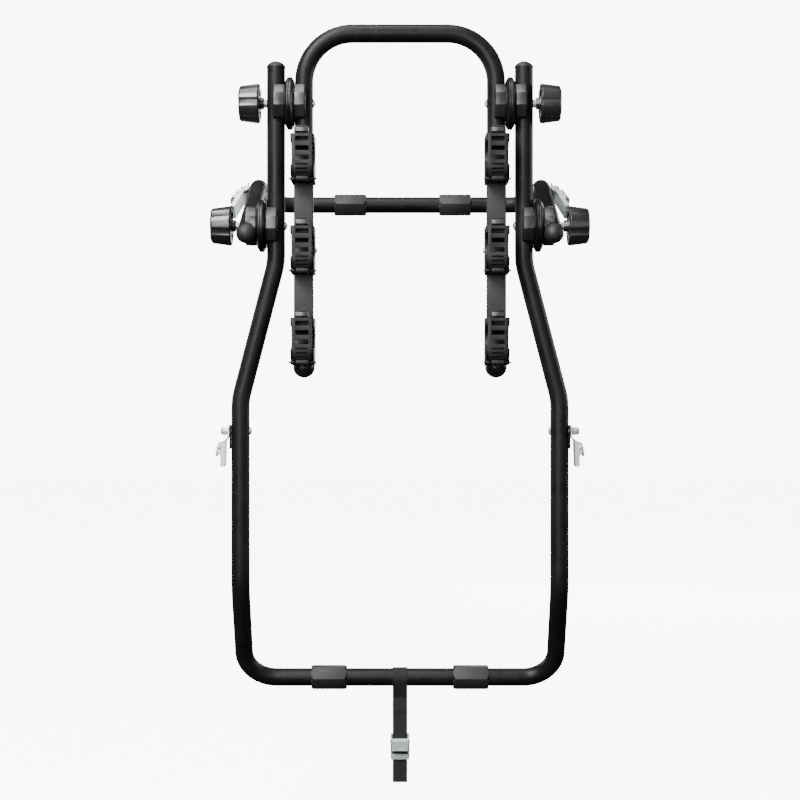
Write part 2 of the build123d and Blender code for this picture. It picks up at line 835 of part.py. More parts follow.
def build_joints():
    """Disc halves, bolts, spacers and knobs of the four toothed joints."""
    half_step = joint_step / 2
    knob_stack = tube_r + seat_gap + spacer_length + run_gap
    bolt_length = 2 * tube_r + joint_step + knob_stack - tube_r + bolt_in_knob
    for side, way in sides.items():
        upper_seam = Vector(way * (main_top_half - half_step), main_y, upper_z)
        lower_seam = Vector(way * (main_top_half + half_step), main_y, lower_z)
        through = bolt_hole_play
        finish(disc_half(upper_seam, way, upright, through), f"upper_main_disc_{side}")
        finish(disc_half(upper_seam, -way, upright, pin_gap), f"upper_carrier_disc_{side}")
        finish(disc_half(lower_seam, -way, upright, pin_gap), f"lower_main_disc_{side}")
        finish(disc_half(lower_seam, way, leg_way, through), f"lower_support_disc_{side}")
        upper_seat = Vector(way * (main_top_half + knob_stack), main_y, upper_z)
        lower_seat = Vector(way * (support_half + knob_stack), main_y, lower_z)
        finish(knob(upper_seat, way, upper_knob_turn), f"upper_knob_{side}")
        finish(knob(lower_seat, way, lower_knob_turn), f"lower_knob_{side}")
    upper_heads = both(carrier_half - tube_r, main_y, upper_z)
    lower_heads = both(main_top_half - tube_r, main_y, lower_z)
    finish(carriage_bolts(upper_heads, bolt_length, 1), "upper_bolts")
    finish(carriage_bolts(lower_heads, bolt_length, 1), "lower_bolts")
    seat_half = tube_r + seat_gap
    finish(spacers(both(main_top_half + seat_half, main_y, upper_z)), "upper_spacers")
    finish(spacers(both(support_half + seat_half, main_y, lower_z)), "lower_spacers")


def build_arms():
    """Cradles, ladder straps, pins and sleeves on both arms."""
    for side in sides:
        for number in range(cradle_count):
            height = cradle_low_z + (cradle_count - 1 - number) * cradle_pitch
            finish(cradle(side, height), f"cradle_{side}_{number + 1}")
            finish(ladder_strap(side, height), f"ladder_strap_{side}_{number + 1}")
        finish(arm_cover(side), f"arm_cover_{side}")
    with BuildPart() as pins:
        for side in sides:
            for number in range(cradle_count):
                profile = arm_side(side, cradle_low_z + number * cradle_pitch)
                with BuildSketch(profile):
                    with Locations((pin_depth, 0)):
                        Circle(pin_d / 2)
                extrude(amount=pin_length / 2, both=True)
    finish(pins, "strap_pins")


def build_buckles():
    """The cam buckles on the tubes and on the webbing, with their bolts and backing plates."""
    droop = radians(leg_buckle_droop)
    leg_down = Vector(0, -cos(droop), -sin(droop))
    side_seats = both(main_low_half, main_y, side_bolt_z)
    leg_seats = both(support_half, leg_bolt.Y, leg_bolt.Z)
    side_stack = tube_r + seat_gap + backing_t + run_gap
    leg_stack = tube_r + run_gap
    for side, way in sides.items():
        outward = Vector(way, 0, 0)
        seat = side_seats[side] + outward * side_stack
        tang, frame = buckle_planes(seat, -upright, outward, side_buckle_lean)
        finish(buckle_frame(frame, tang), f"side_buckle_{side}")
        finish(cam_lever(frame), f"side_cam_{side}")
        seat = leg_seats[side] + outward * leg_stack
        tang, frame = buckle_planes(seat, leg_down, outward, leg_buckle_lean)
        finish(buckle_frame(frame, tang), f"leg_buckle_{side}")
        finish(cam_lever(frame), f"leg_cam_{side}")
    nut_room = buckle_plate + seat_gap
    finish(buckle_bolts(side_seats, side_stack - tube_r + nut_room), "side_buckle_bolts")
    finish(buckle_bolts(leg_seats, leg_stack - tube_r + nut_room), "leg_buckle_bolts")
    with BuildPart() as backing:
        for side, place in side_seats.items():
            face = place + Vector(sides[side] * (tube_r + seat_gap), 0, 0)
            with BuildSketch(Plane(origin=face, x_dir=(0, 1, 0), z_dir=(sides[side], 0, 0))):
                with Locations((0, sides[side] * (backing_above - backing_below) / 2)):
                    RectangleRounded(backing_w, backing_above + backing_below, backing_w / 4)
                Circle(bolt_d / 2 + pin_gap, mode=Mode.SUBTRACT)
            extrude(amount=backing_t)
    finish(backing, "backing_plates")
    finish(webbing(), "webbing_strap")
    back = buckle_plate + web_room / 2
    start = (0, back, strap_buckle_z)
    frame = Plane(origin=start, x_dir=(0, 0, -1), z_dir=Vector(0, 0, -1).cross(Vector(0, -1, 0)))
    finish(buckle_frame(frame), "strap_buckle")
    finish(cam_lever(frame), "strap_cam")


upright = Vector(0, 0, 1)
leg_way = Vector(0, rise_cos, rise_sin)
lower_pivot = Vector(0, main_y, lower_z)
leg_bolt = lower_pivot + leg_way * leg_bolt_along

build_frames()
build_caps_and_pads()
build_joints()
build_arms()
build_buckles()
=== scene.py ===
# %% [markdown]
# # A trunk mounted bike rack, dressed for the camera
#
# The rack is three bent steel tubes, joined by toothed plastic discs that hand knobs clamp. Its
# solids are already true to size, so they come in as a fixed frame, and this script gives them
# their finishes, their soft edges and the small things that the solids leave out. Everything is
# in metres, with +Z up, and the person who loads the bikes stands on the -Y side.

# %% Load the frame
import json
from math import acos, atan2, cos, hypot, pi, radians, sin

import bmesh
import bpy
from mathutils import Matrix, Vector

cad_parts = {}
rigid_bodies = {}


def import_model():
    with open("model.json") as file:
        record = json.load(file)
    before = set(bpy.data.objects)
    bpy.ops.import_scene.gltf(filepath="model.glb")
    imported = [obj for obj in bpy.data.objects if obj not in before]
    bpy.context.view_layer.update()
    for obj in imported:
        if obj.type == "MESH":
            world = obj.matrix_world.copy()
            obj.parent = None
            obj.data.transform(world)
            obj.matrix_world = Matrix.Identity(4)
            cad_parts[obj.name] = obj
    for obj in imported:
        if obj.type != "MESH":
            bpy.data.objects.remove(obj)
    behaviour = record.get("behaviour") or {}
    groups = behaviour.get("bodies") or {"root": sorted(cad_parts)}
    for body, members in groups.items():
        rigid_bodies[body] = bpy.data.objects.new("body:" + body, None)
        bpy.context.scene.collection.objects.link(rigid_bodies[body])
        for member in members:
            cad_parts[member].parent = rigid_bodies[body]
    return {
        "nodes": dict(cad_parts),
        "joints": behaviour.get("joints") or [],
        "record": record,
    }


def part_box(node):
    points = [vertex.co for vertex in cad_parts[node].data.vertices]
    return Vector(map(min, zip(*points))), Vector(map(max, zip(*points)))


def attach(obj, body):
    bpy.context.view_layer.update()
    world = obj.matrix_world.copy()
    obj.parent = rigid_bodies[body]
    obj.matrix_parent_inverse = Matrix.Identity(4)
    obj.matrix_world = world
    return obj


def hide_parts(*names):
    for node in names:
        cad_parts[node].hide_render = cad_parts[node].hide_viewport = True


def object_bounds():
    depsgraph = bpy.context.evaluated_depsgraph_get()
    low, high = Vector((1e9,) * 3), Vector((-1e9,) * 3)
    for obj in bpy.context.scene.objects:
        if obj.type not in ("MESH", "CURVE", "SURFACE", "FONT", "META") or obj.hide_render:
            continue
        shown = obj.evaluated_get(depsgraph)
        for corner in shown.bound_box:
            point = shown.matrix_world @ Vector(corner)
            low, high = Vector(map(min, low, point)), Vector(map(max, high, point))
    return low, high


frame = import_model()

solid_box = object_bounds()
body_of = {node: body for body, nodes in frame["record"]["behaviour"]["bodies"].items() for node in nodes}
SIDES = {"left": -1, "right": 1}
print("the frame spans", [round(high - low, 3) for low, high in zip(*solid_box)], "metres")

# %% [markdown]
# ## The camera
#
# The photograph looks straight at the rack from the loading side, level, with the horizon in the
# middle of the picture. The far crossbar's pads look smaller than the near ones by 13 percent, and
# that sets how far away the lens stands.

# %% Place the camera
CAMERA_FORWARD = 2.7
MAIN_PLANE_Y = -0.088
CAMERA_HEIGHT = 0.470
VIEW_WIDTH = 1.3146
SENSOR_MM = 36.0

lens = bpy.data.cameras.new("studio_lens")
lens.sensor_width = SENSOR_MM
lens.lens = SENSOR_MM * CAMERA_FORWARD / VIEW_WIDTH
lens.clip_end = 50
camera = bpy.data.objects.new("studio_camera", lens)
camera.location = (0, MAIN_PLANE_Y - CAMERA_FORWARD, CAMERA_HEIGHT)
camera.rotation_euler = (pi / 2, 0, 0)
bpy.context.collection.objects.link(camera)
bpy.context.scene.camera = camera
print("lens of", round(lens.lens, 1), "mm")

# %% [markdown]
# ## The studio
#
# Black tubes show only what they mirror. A soft key light, high on the left, makes the knobs' and
# hubs' upper flats bright. A lower one in front draws the broad pale stripe down the middle of each
# tube, a weak one fills in from the right, and one overhead lights the top bar. Two more stand
# behind the rack and one at its right side, for whoever walks round it, and these hardly show from
# the front. The surroundings that the rack mirrors are nearly black, so the tubes' edges stay dark,
# while the camera sees them white. The floor is pale and stays out of the mirror, so that the
# undersides don't glow.


# %% Lights
# Each light has its place, the point that it faces, the length of its side in metres and its power
# in watts.
LIGHTS = {
    "key_light": ((-1.6, -2.3, 3.1), (0, 0, 0.6), 1.6, 230),
    "front_light": ((-1.0, -3.5, 1.2), (0, 0, 0.5), 1.6, 80),
    "fill_light": ((1.5, -3.2, 1.0), (0, 0, 0.5), 1.6, 10),
    "top_light": ((-0.4, -0.5, 3.4), (0, 0, 0.6), 1.6, 50),
    "back_light": ((1.0, 3.6, 1.1), (0, 0, 0.6), 2.0, 60),
    "back_fill": ((-2.4, 2.2, 1.0), (0, 0, 0.5), 1.6, 18),
    "side_light": ((3.4, 1.0, 1.4), (0, 0, 0.6), 1.6, 45),
}


def soft_light(name, place, aim, size, power):
    """A square area light that faces a point."""
    lamp = bpy.data.lights.new(name, "AREA")
    lamp.shape, lamp.size, lamp.energy = "SQUARE", size, power
    holder = bpy.data.objects.new(name, lamp)
    holder.location = place
    holder.rotation_euler = (Vector(aim) - Vector(place)).to_track_quat("-Z", "Y").to_euler()
    bpy.context.collection.objects.link(holder)


for name, (place, aim, size, power) in LIGHTS.items():
    soft_light(name, place, aim, size, power)
print(len(LIGHTS), "lights")

# %% [markdown]
# One world has to be two things at once: white behind the rack for the camera, and nearly black for
# what the tubes mirror. A Light Path node tells the two kinds of rays apart and picks the strength.
# Only the world and the lights use it, and never a finish.

# %% Sky
SKY_IN_MIRRORS = 0.04
SKY_SEEN = 9.0

sky = bpy.data.worlds.new("studio_sky")
sky.use_nodes = True
sky_nodes, sky_links = sky.node_tree.nodes, sky.node_tree.links
seen = sky_nodes.new("ShaderNodeLightPath")
glow = sky_nodes["Background"]
level = sky_nodes.new("ShaderNodeMapRange")
level.inputs["To Min"].default_value = SKY_IN_MIRRORS
level.inputs["To Max"].default_value = SKY_SEEN
sky_links.new(seen.outputs["Is Camera Ray"], level.inputs["Value"])
sky_links.new(level.outputs["Result"], glow.inputs["Strength"])
glow.inputs["Color"].default_value = (1, 1, 1, 1)
bpy.context.scene.world = sky
print("sky of", SKY_SEEN, "for the camera and", SKY_IN_MIRRORS, "for the mirrors")

# %% [markdown]
# The floor is a single large square, a little below the strap's tail.

# %% Floor
FLOOR_BELOW = 0.06
FLOOR_HALF = 12
FLOOR_GREY = 0.9
FLOOR_GLOW = 8.0

floor_form = bmesh.new()
bmesh.ops.create_grid(floor_form, x_segments=1, y_segments=1, size=FLOOR_HALF)
bmesh.ops.translate(floor_form, vec=(0, 0, solid_box[0][2] - FLOOR_BELOW), verts=floor_form.verts)
floor_mesh = bpy.data.meshes.new("studio_floor")
floor_form.to_mesh(floor_mesh)
floor_form.free()
floor = bpy.data.objects.new("studio_floor", floor_mesh)
bpy.context.collection.objects.link(floor)
floor.visible_glossy = False
floor.visible_diffuse = False
floor_paint = bpy.data.materials.new("pale_floor")
floor_paint.use_nodes = True
floor_shader = floor_paint.node_tree.nodes["Principled BSDF"]
floor_shader.inputs["Base Color"].default_value = (FLOOR_GREY, FLOOR_GREY, FLOOR_GREY, 1)
floor_shader.inputs["Roughness"].default_value = 0.9
floor_shader.inputs["Emission Color"].default_value = (1, 1, 1, 1)
floor_shader.inputs["Emission Strength"].default_value = FLOOR_GLOW
floor_mesh.materials.append(floor_paint)
print("floor at", round(solid_box[0][2] - FLOOR_BELOW, 3), "metres")

# %% [markdown]
# ## Node groups that the finishes share
#
# Real surfaces are never one flat colour. Moulded plastic has a fine spark-eroded grain, powder
# coat has a soft orange peel, and everything carries a little dust on top. Each of these effects
# is made once, as a group with named sockets, and each finish sets its own values. A group puts
# out only masks and heights, and the shader itself stays in the material.


# %% Helpers for node groups
def new_group(name, inputs, outputs):
    """An empty shader group with its sockets. inputs maps a name to a number or a vector."""
    tree = bpy.data.node_groups.new(name, "ShaderNodeTree")
    for label, start in inputs.items():
        kind = "NodeSocketVector" if start is None else "NodeSocketFloat"
        socket = tree.interface.new_socket(label, in_out="INPUT", socket_type=kind)
        if start is not None:
            socket.default_value = start
    for label in outputs:
        tree.interface.new_socket(label, in_out="OUTPUT", socket_type="NodeSocketFloat")
    return tree, tree.nodes.new("NodeGroupInput"), tree.nodes.new("NodeGroupOutput")


def maths(tree, operation, *values):
    """A Math node on sockets or numbers, and its result."""
    node = tree.nodes.new("ShaderNodeMath")
    node.operation = operation
    for socket, value in zip(node.inputs, values):
        if isinstance(value, bpy.types.NodeSocket):
            tree.links.new(value, socket)
        else:
            socket.default_value = value
    return node.outputs[0]


def noise(tree, vector, scale, detail=3.0, rough=0.6):
    """A noise texture on a vector, and its grey value."""
    node = tree.nodes.new("ShaderNodeTexNoise")
    node.inputs["Detail"].default_value = detail
    node.inputs["Roughness"].default_value = rough
    tree.links.new(vector, node.inputs["Vector"])
    if isinstance(scale, bpy.types.NodeSocket):
        tree.links.new(scale, node.inputs["Scale"])
    else:
        node.inputs["Scale"].default_value = scale
    return node.outputs["Fac"]


def stretch(tree, value, low, high):
    """A value spread from low..high to 0..1."""
    node = tree.nodes.new("ShaderNodeMapRange")
    node.inputs["From Min"].default_value = low
    node.inputs["From Max"].default_value = high
    tree.links.new(value, node.inputs["Value"])
    return node.outputs["Result"]


# %% [markdown]
# The grain group mixes a fine noise, for the texture under the fingertip, with slow mottling, for
# the way that a moulding or a coat varies from place to place. Its scale is grains to the metre.
# Both read Object coordinates, which are metres here, so the grain is the same size on each piece.

# %% The grain group
MOTTLES_PER_METRE = 22.0
MOTTLE_RANGE = 0.35, 0.65

grain_group, grain_in, grain_out = new_group(
    "surface_grain", {"Vector": None, "Grains per Metre": 1500.0}, ["Height", "Mottle"])
fine = noise(grain_group, grain_in.outputs["Vector"], grain_in.outputs["Grains per Metre"])
slow = noise(grain_group, grain_in.outputs["Vector"], MOTTLES_PER_METRE, detail=5.0)
grain_group.links.new(fine, grain_out.inputs["Height"])
grain_group.links.new(stretch(grain_group, slow, *MOTTLE_RANGE), grain_out.inputs["Mottle"])
print(grain_group.name, "has", len(grain_group.nodes), "nodes")

# %% [markdown]
# Dust settles on what faces up. The group turns the height of the surface's own normal into a
# mask and breaks it up with noise, so that it never looks painted on.

# %% The dust group
FACING_UP_RANGE = 0.2, 1.0
PATCHES_PER_METRE = 60.0
PATCH_RANGE = 0.35, 0.7

dust_group, dust_in, dust_out = new_group(
    "settled_dust", {"Vector": None, "Normal": None, "Amount": 0.3}, ["Dust"])
tilt = dust_group.nodes.new("ShaderNodeSeparateXYZ")
dust_group.links.new(dust_in.outputs["Normal"], tilt.inputs[0])
facing_up = stretch(dust_group, tilt.outputs["Z"], *FACING_UP_RANGE)
cloud = noise(dust_group, dust_in.outputs["Vector"], PATCHES_PER_METRE, detail=6.0)
patches = stretch(dust_group, cloud, *PATCH_RANGE)
settled = maths(dust_group, "MULTIPLY", maths(dust_group, "MULTIPLY", facing_up, patches),
                dust_in.outputs["Amount"])
dust_group.links.new(settled, dust_out.inputs["Dust"])
print(dust_group.name, "has", len(dust_group.nodes), "nodes")

# %% [markdown]
# Handling leaves fine scuffs: short pale lines in every direction. Three noises, each stretched
# along another axis, give them when only their thin crests are kept.

# %% The scuff group
# Each run of scuffs has its turn in radians and its scale along each axis, to the metre.
SCUFF_RUNS = (0.5, (900, 60, 60)), (1.9, (50, 700, 60)), (2.7, (60, 50, 800))
CREST_RANGE = 0.66, 0.74

scuff_group, scuff_in, scuff_out = new_group(
    "fine_scuffs", {"Vector": None, "Amount": 0.3}, ["Scuffs"])
crests = []
for turn, squeeze in SCUFF_RUNS:
    mapping = scuff_group.nodes.new("ShaderNodeMapping")
    mapping.inputs["Rotation"].default_value = (turn, turn / 2, turn)
    mapping.inputs["Scale"].default_value = squeeze
    scuff_group.links.new(scuff_in.outputs["Vector"], mapping.inputs["Vector"])
    streaks = noise(scuff_group, mapping.outputs[0], 1.0, detail=2.0)
    crests.append(stretch(scuff_group, streaks, *CREST_RANGE))
either = maths(scuff_group, "MAXIMUM", maths(scuff_group, "MAXIMUM", crests[0], crests[1]), crests[2])
scuff_group.links.new(maths(scuff_group, "MULTIPLY", either, scuff_in.outputs["Amount"]),
                      scuff_out.inputs["Scuffs"])
print("groups:", [group.name for group in bpy.data.node_groups])

# %% [markdown]
# ## One recipe for the hard finishes
#
# Powder coat, moulded plastic, rubber and zinc differ in their numbers more than in their nodes,
# so one function wires the groups to a Principled BSDF. Colours are mixed along the mottling, the
# dust and the scuffs. Roughness rises with dust, and the grain feeds a Bump node. A value that is
# the same all over a piece, such as Metallic, is set on the shader itself.


# %% The recipe
DUST_ROUGHENS = 0.3


def grey(level):
    """An even grey as a colour."""
    return level, level, level


def place_group(tree, group, **links):
    """A group node in a material, with its inputs linked or set."""
    node = tree.nodes.new("ShaderNodeGroup")
    node.node_tree = group
    for label, value in links.items():
        socket = node.inputs[label.replace("_", " ")]
        if isinstance(value, bpy.types.NodeSocket):
            tree.links.new(value, socket)
        else:
            socket.default_value = value
    return node


def mix_colour(tree, mask, under, over):
    """One colour over another, by a mask. Each is a colour or a socket."""
    node = tree.nodes.new("ShaderNodeMix")
    node.data_type = "RGBA"
    tree.links.new(mask, node.inputs["Factor"])
    for socket, value in ((node.inputs[6], under), (node.inputs[7], over)):
        if isinstance(value, bpy.types.NodeSocket):
            tree.links.new(value, socket)
        else:
            socket.default_value = (*value, 1)
    return node.outputs[2]


def hard_finish(name, dark, light, rough, grains, bump, dust=0.25, scuffs=0.25, metallic=0.0,
                dust_colour=(0.35, 0.34, 0.32), scuff_colour=grey(0.22), rough_spread=0.1,
                specular=0.5):
    """A mottled, grained finish. dark and light are its two colours, and bump is in metres."""
    finish = bpy.data.materials.new(name)
    finish.use_nodes = True
    tree = finish.node_tree
    shader = tree.nodes["Principled BSDF"]
    spot = tree.nodes.new("ShaderNodeTexCoord")
    grain = place_group(tree, grain_group, Vector=spot.outputs["Object"], Grains_per_Metre=grains)
    settled = place_group(tree, dust_group, Vector=spot.outputs["Object"], Normal=spot.outputs["Normal"],
                          Amount=dust)
    scuffed = place_group(tree, scuff_group, Vector=spot.outputs["Object"], Amount=scuffs)
    colour = mix_colour(tree, grain.outputs["Mottle"], dark, light)
    colour = mix_colour(tree, scuffed.outputs["Scuffs"], colour, scuff_colour)
    colour = mix_colour(tree, settled.outputs["Dust"], colour, dust_colour)
    tree.links.new(colour, shader.inputs["Base Color"])
    varied = maths(tree, "MULTIPLY_ADD", grain.outputs["Mottle"], rough_spread, rough - rough_spread / 2)
    roughness = maths(tree, "MULTIPLY_ADD", settled.outputs["Dust"], DUST_ROUGHENS, varied)
    tree.links.new(roughness, shader.inputs["Roughness"])
    relief = tree.nodes.new("ShaderNodeBump")
    relief.inputs["Strength"].default_value = 1.0
    relief.inputs["Distance"].default_value = bump
    tree.links.new(grain.outputs["Height"], relief.inputs["Height"])
    tree.links.new(relief.outputs[0], shader.inputs["Normal"])
    shader.inputs["Metallic"].default_value = metallic
    shader.inputs["Specular IOR Level"].default_value = specular
    return finish


# %% [markdown]
# ## The finishes
#
# Everything is black but the steel, so what tells the pieces apart is how bright and how sharp
# their gloss is. The tubes' powder coat is satin, the hubs and knobs are the glossiest, the cradles
# are darker, and the rubber and the sleeves are dull. The discs' rims get a darker, duller copy of
# the hubs' plastic as painted shade. The zinc is a pale steel that is only partly metallic, so that
# it stays pale where it mirrors the dark surroundings.

# %% Mix the finishes
MOULD_GRAINS = 1800
FINE_RELIEF, COARSE_RELIEF, ZINC_RELIEF = 0.00003, 0.00005, 0.00002

powder_coat = hard_finish("powder_coat", grey(0.006), grey(0.011), rough=0.42, grains=700,
                          bump=COARSE_RELIEF, dust=0.05, scuffs=0.05, specular=0.22)
moulded = hard_finish("moulded_plastic", grey(0.014), grey(0.022), rough=0.33, grains=MOULD_GRAINS,
                      bump=FINE_RELIEF, dust=0.04, scuffs=0.06, specular=0.9)
# painted shade: the discs' rims get this darker, duller copy of the moulded plastic
rim_painted_shade = hard_finish("rim_painted_shade", grey(0.004), grey(0.008), rough=0.36, grains=MOULD_GRAINS,
                          bump=FINE_RELIEF, dust=0.03, scuffs=0.05, specular=0.45)
cap_plastic = hard_finish("cap_plastic", grey(0.012), grey(0.018), rough=0.55, grains=MOULD_GRAINS,
                          bump=FINE_RELIEF, dust=0.05, scuffs=0.08)
cradle_plastic = hard_finish("cradle_plastic", grey(0.004), grey(0.008), rough=0.5, grains=MOULD_GRAINS,
                             bump=FINE_RELIEF, dust=0.03, scuffs=0.06, specular=0.3)
arm_cap_plastic = hard_finish("arm_cap_plastic", grey(0.006), grey(0.011), rough=0.36,
                              grains=MOULD_GRAINS, bump=FINE_RELIEF, dust=0.05, scuffs=0.08, specular=0.7)
strap_rubber = hard_finish("strap_rubber", grey(0.012), grey(0.018), rough=0.55, grains=1300,
                           bump=FINE_RELIEF, dust=0.05, scuffs=0.05, specular=0.35)
pad_rubber = hard_finish("pad_rubber", grey(0.014), grey(0.024), rough=0.6, grains=1000,
                         bump=COARSE_RELIEF, dust=0.1, scuffs=0.12)
sleeve_plastic = hard_finish("sleeve_plastic", grey(0.022), grey(0.03), rough=0.6, grains=900,
                             bump=FINE_RELIEF, dust=0.05, scuffs=0.06)
zinc = hard_finish("zinc_plate", (0.60, 0.67, 0.67), (0.78, 0.83, 0.83), rough=0.36, grains=900,
                   bump=ZINC_RELIEF, dust=0.05, scuffs=0.3, metallic=0.45, rough_spread=0.2,
                   scuff_colour=(0.85, 0.87, 0.88), dust_colour=(0.5, 0.5, 0.48))
print("finishes:", [finish.name for finish in bpy.data.materials])

# %% [markdown]
# ## Softened copies of the solids
#
# A moulding tool never leaves a knife edge, and it is the soft edge that catches the light. The
# solids have sharp edges and come in as loose triangles. So each moulded or pressed piece is
# copied, its doubled points are merged, flat triangles are joined again, and its sharp edges get a
# small round with bmesh's bevel. The copy then stands for the solid.


# %% Helpers for pieces
MERGE_WITHIN = 0.000002
FLAT_DEGREES = 0.5


def smooth_shading(form, sharp_degrees=35):
    """Smooth faces, with creases kept where two faces meet at more than an angle."""
    for face in form.faces:
        face.smooth = True
    for edge in form.edges:
        edge.smooth = len(edge.link_faces) == 2 and edge.calc_face_angle(0) < radians(sharp_degrees)


def add_piece(name, form, body, finish):
    """A finished bmesh as an object at the world's origin, riding on a body."""
    mesh = bpy.data.meshes.new(name)
    form.to_mesh(mesh)
    form.free()
    mesh.materials.append(finish)
    piece = bpy.data.objects.new(name, mesh)
    bpy.context.collection.objects.link(piece)
    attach(piece, body)
    return piece


def merged_copy(node):
    """A solid's mesh as a bmesh, with its loose triangles joined."""
    form = bmesh.new()
    form.from_mesh(frame["nodes"][node].data)
    bmesh.ops.remove_doubles(form, verts=form.verts, dist=MERGE_WITHIN)
    bmesh.ops.dissolve_limit(form, angle_limit=radians(FLAT_DEGREES), verts=form.verts, edges=form.edges)
    return form


def softened(node, finish, width, segments=2, edge_degrees=28, turn=0.0):
    """A copy of a solid with its sharp edges rounded, which stands for it.

    turn is in degrees, about the joint that the piece itself turns on.
    """
    form = merged_copy(node)
    if turn:
        joint = next(joint for joint in frame["joints"] if joint["child"] == body_of[node])
        bmesh.ops.rotate(form, cent=joint["pos_m"], verts=form.verts,
                         matrix=Matrix.Rotation(radians(turn), 3, joint["axis"]))
    hard = [edge for edge in form.edges
            if len(edge.link_faces) == 2 and edge.calc_face_angle(0) > radians(edge_degrees)]
    bmesh.ops.bevel(form, geom=hard, offset=width, offset_type="OFFSET", segments=segments, profile=0.5,
                    affect="EDGES", clamp_overlap=True, material=-1, loop_slide=True)
    smooth_shading(form)
    piece = add_piece(f"{node}_soft", form, body_of[node], finish)
    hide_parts(node)
    return piece


def dress(finish, *nodes):
    """A finish for solids that stay as they are."""
    for node in nodes:
        mesh = frame["nodes"][node].data
        mesh.materials.clear()
        mesh.materials.append(finish)


# %% [markdown]
# ## Tubes and their ends
#
# The three tubes are bent from one stock and powder coated. Their solids are right as they are,
# with their bends as true arcs, so they only get their finish. A curve with a round bevel could
# draw them too, but it would have to be fitted to the joints. The plugs and caps are moulded, and
# the pins that the ladder straps turn on are black as well.

# %% Dress the tubes and caps
dress(powder_coat, "main_tube", "carrier_tube", "support_tube", "backing_plates")
dress(cap_plastic, "main_end_caps", "support_end_caps", "strap_pins")
dress(arm_cap_plastic, "arm_end_caps")
print("tubes, caps and pins dressed")

# %% [markdown]
# ## Discs, knobs and cradles
#
# These are the largest mouldings on the rack. Their edges are rounded by about a millimetre, which
# is what an injection mould leaves. A knob may stand at any turn, so each is given the turn that it
# was left at. The discs' rims and cones get a darker, duller finish as painted shade, and the front
# of each cradle's peg gets the hubs' lighter, glossier finish as a painted highlight.

# %% Soften the mouldings
DISC_EDGE, KNOB_EDGE, PAD_EDGE = 0.001, 0.0012, 0.001
CRADLE_EDGE, STRAP_EDGE, SLEEVE_EDGE = 0.0006, 0.0005, 0.0005
KNOB_TURNS = {"upper_knob": 27.2, "lower_knob": 1.8}
HUB_WAYS = {"upper_main_disc": 1, "upper_carrier_disc": -1, "lower_main_disc": -1, "lower_support_disc": 1}
HUB_START = 0.0088
HORN_FRONT = 0.0563


def paint_rim_shade(piece, seam_x):
    """Painted shade: a darker, duller plastic for what lies between a disc's seam and its hub."""
    piece.data.materials.append(rim_painted_shade)
    for face in piece.data.polygons:
        if abs(face.center.x - seam_x) < HUB_START:
            face.material_index = 1


def paint_peg_highlight(piece):
    """Painted highlight: the hubs' lighter, glossier finish for the front faces of a cradle's peg."""
    piece.data.materials.append(moulded)
    for face in piece.data.polygons:
        if face.center.y < MAIN_PLANE_Y - HORN_FRONT:
            face.material_index = 1


soft_pieces = []
for side in SIDES:
    for disc, hub_way in HUB_WAYS.items():
        soft_pieces.append(softened(f"{disc}_{side}", moulded, DISC_EDGE))
        low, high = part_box(f"{disc}_{side}")
        # painted shade on the rim between the seam and the hub
        paint_rim_shade(soft_pieces[-1], low[0] if hub_way * SIDES[side] > 0 else high[0])
    for knob, turn in KNOB_TURNS.items():
        soft_pieces.append(softened(f"{knob}_{side}", moulded, KNOB_EDGE, turn=turn))
    for number in (1, 2, 3):
        soft_pieces.append(softened(f"cradle_{side}_{number}", cradle_plastic, CRADLE_EDGE))
        # painted highlight: the peg's front faces get the hubs' lighter, glossier finish
        paint_peg_highlight(soft_pieces[-1])
        soft_pieces.append(softened(f"ladder_strap_{side}_{number}", strap_rubber, STRAP_EDGE))
    soft_pieces.append(softened(f"arm_cover_{side}", sleeve_plastic, SLEEVE_EDGE))
    for pad in ("bumper_pad", "window_pad"):
        soft_pieces.append(softened(f"{pad}_{side}", pad_rubber, PAD_EDGE))
print(len(soft_pieces), "softened mouldings")

# %% [markdown]
# ## Steel small parts
#
# Bolts, spacers and buckles are zinc plated. The buckles are pressed from sheet, so their edges
# are only just broken, with one narrow flat instead of a round.

# %% Dress the steel
SHEET_EDGE = 0.0002
dress(zinc, "upper_bolts", "lower_bolts", "upper_spacers", "lower_spacers", "side_buckle_bolts",
      "leg_buckle_bolts")
for side in SIDES:
    for part in ("side_buckle", "leg_buckle", "side_cam", "leg_cam"):
        softened(f"{part}_{side}", zinc, SHEET_EDGE, segments=1)
softened("strap_buckle", zinc, SHEET_EDGE, segments=1)
softened("strap_cam", zinc, SHEET_EDGE, segments=1)
print("bolts, spacers and five buckles in zinc")

# %% [markdown]
# ## Round heads
#
# Each buckle's axle is riveted at both ends, and a screw with a round head holds each arm's middle
# cradle in its place. A round head is a quarter arc, spun about its axis. The axles' places come
# from the joints of the cams that turn on them.


# %% Spin the round heads
RIVET_RADIUS, RIVET_HEIGHT = 0.0032, 0.0012
SCREW_RADIUS, SCREW_HEIGHT = 0.0048, 0.0028
BUCKLE_HALF = 0.016
PROFILE_STEPS, SPIN_STEPS = 6, 28
HEAD_MERGE, HEAD_CREASE = 0.00002, 60


def round_head(form, seat, way, radius, height):
    """Adds a domed head to a bmesh, standing on a point along a direction."""
    profile = [form.verts.new((radius * cos(turn), 0, height * sin(turn)))
               for turn in (pi / 2 * step / PROFILE_STEPS for step in range(PROFILE_STEPS + 1))]
    profile.append(form.verts.new((0, 0, 0)))
    rim = [form.edges.new(pair) for pair in zip(profile[:-2], profile[1:-1])]
    rim.append(form.edges.new((profile[-1], profile[0])))
    before = set(form.verts) - set(profile)
    bmesh.ops.spin(form, geom=profile + rim, axis=(0, 0, 1), cent=(0, 0, 0), angle=2 * pi,
                   steps=SPIN_STEPS, use_merge=True)
    new = [vert for vert in form.verts if vert not in before]
    turned = Vector((0, 0, 1)).rotation_difference(Vector(way)).to_matrix().to_4x4()
    bmesh.ops.transform(form, matrix=Matrix.Translation(seat) @ turned, verts=new)


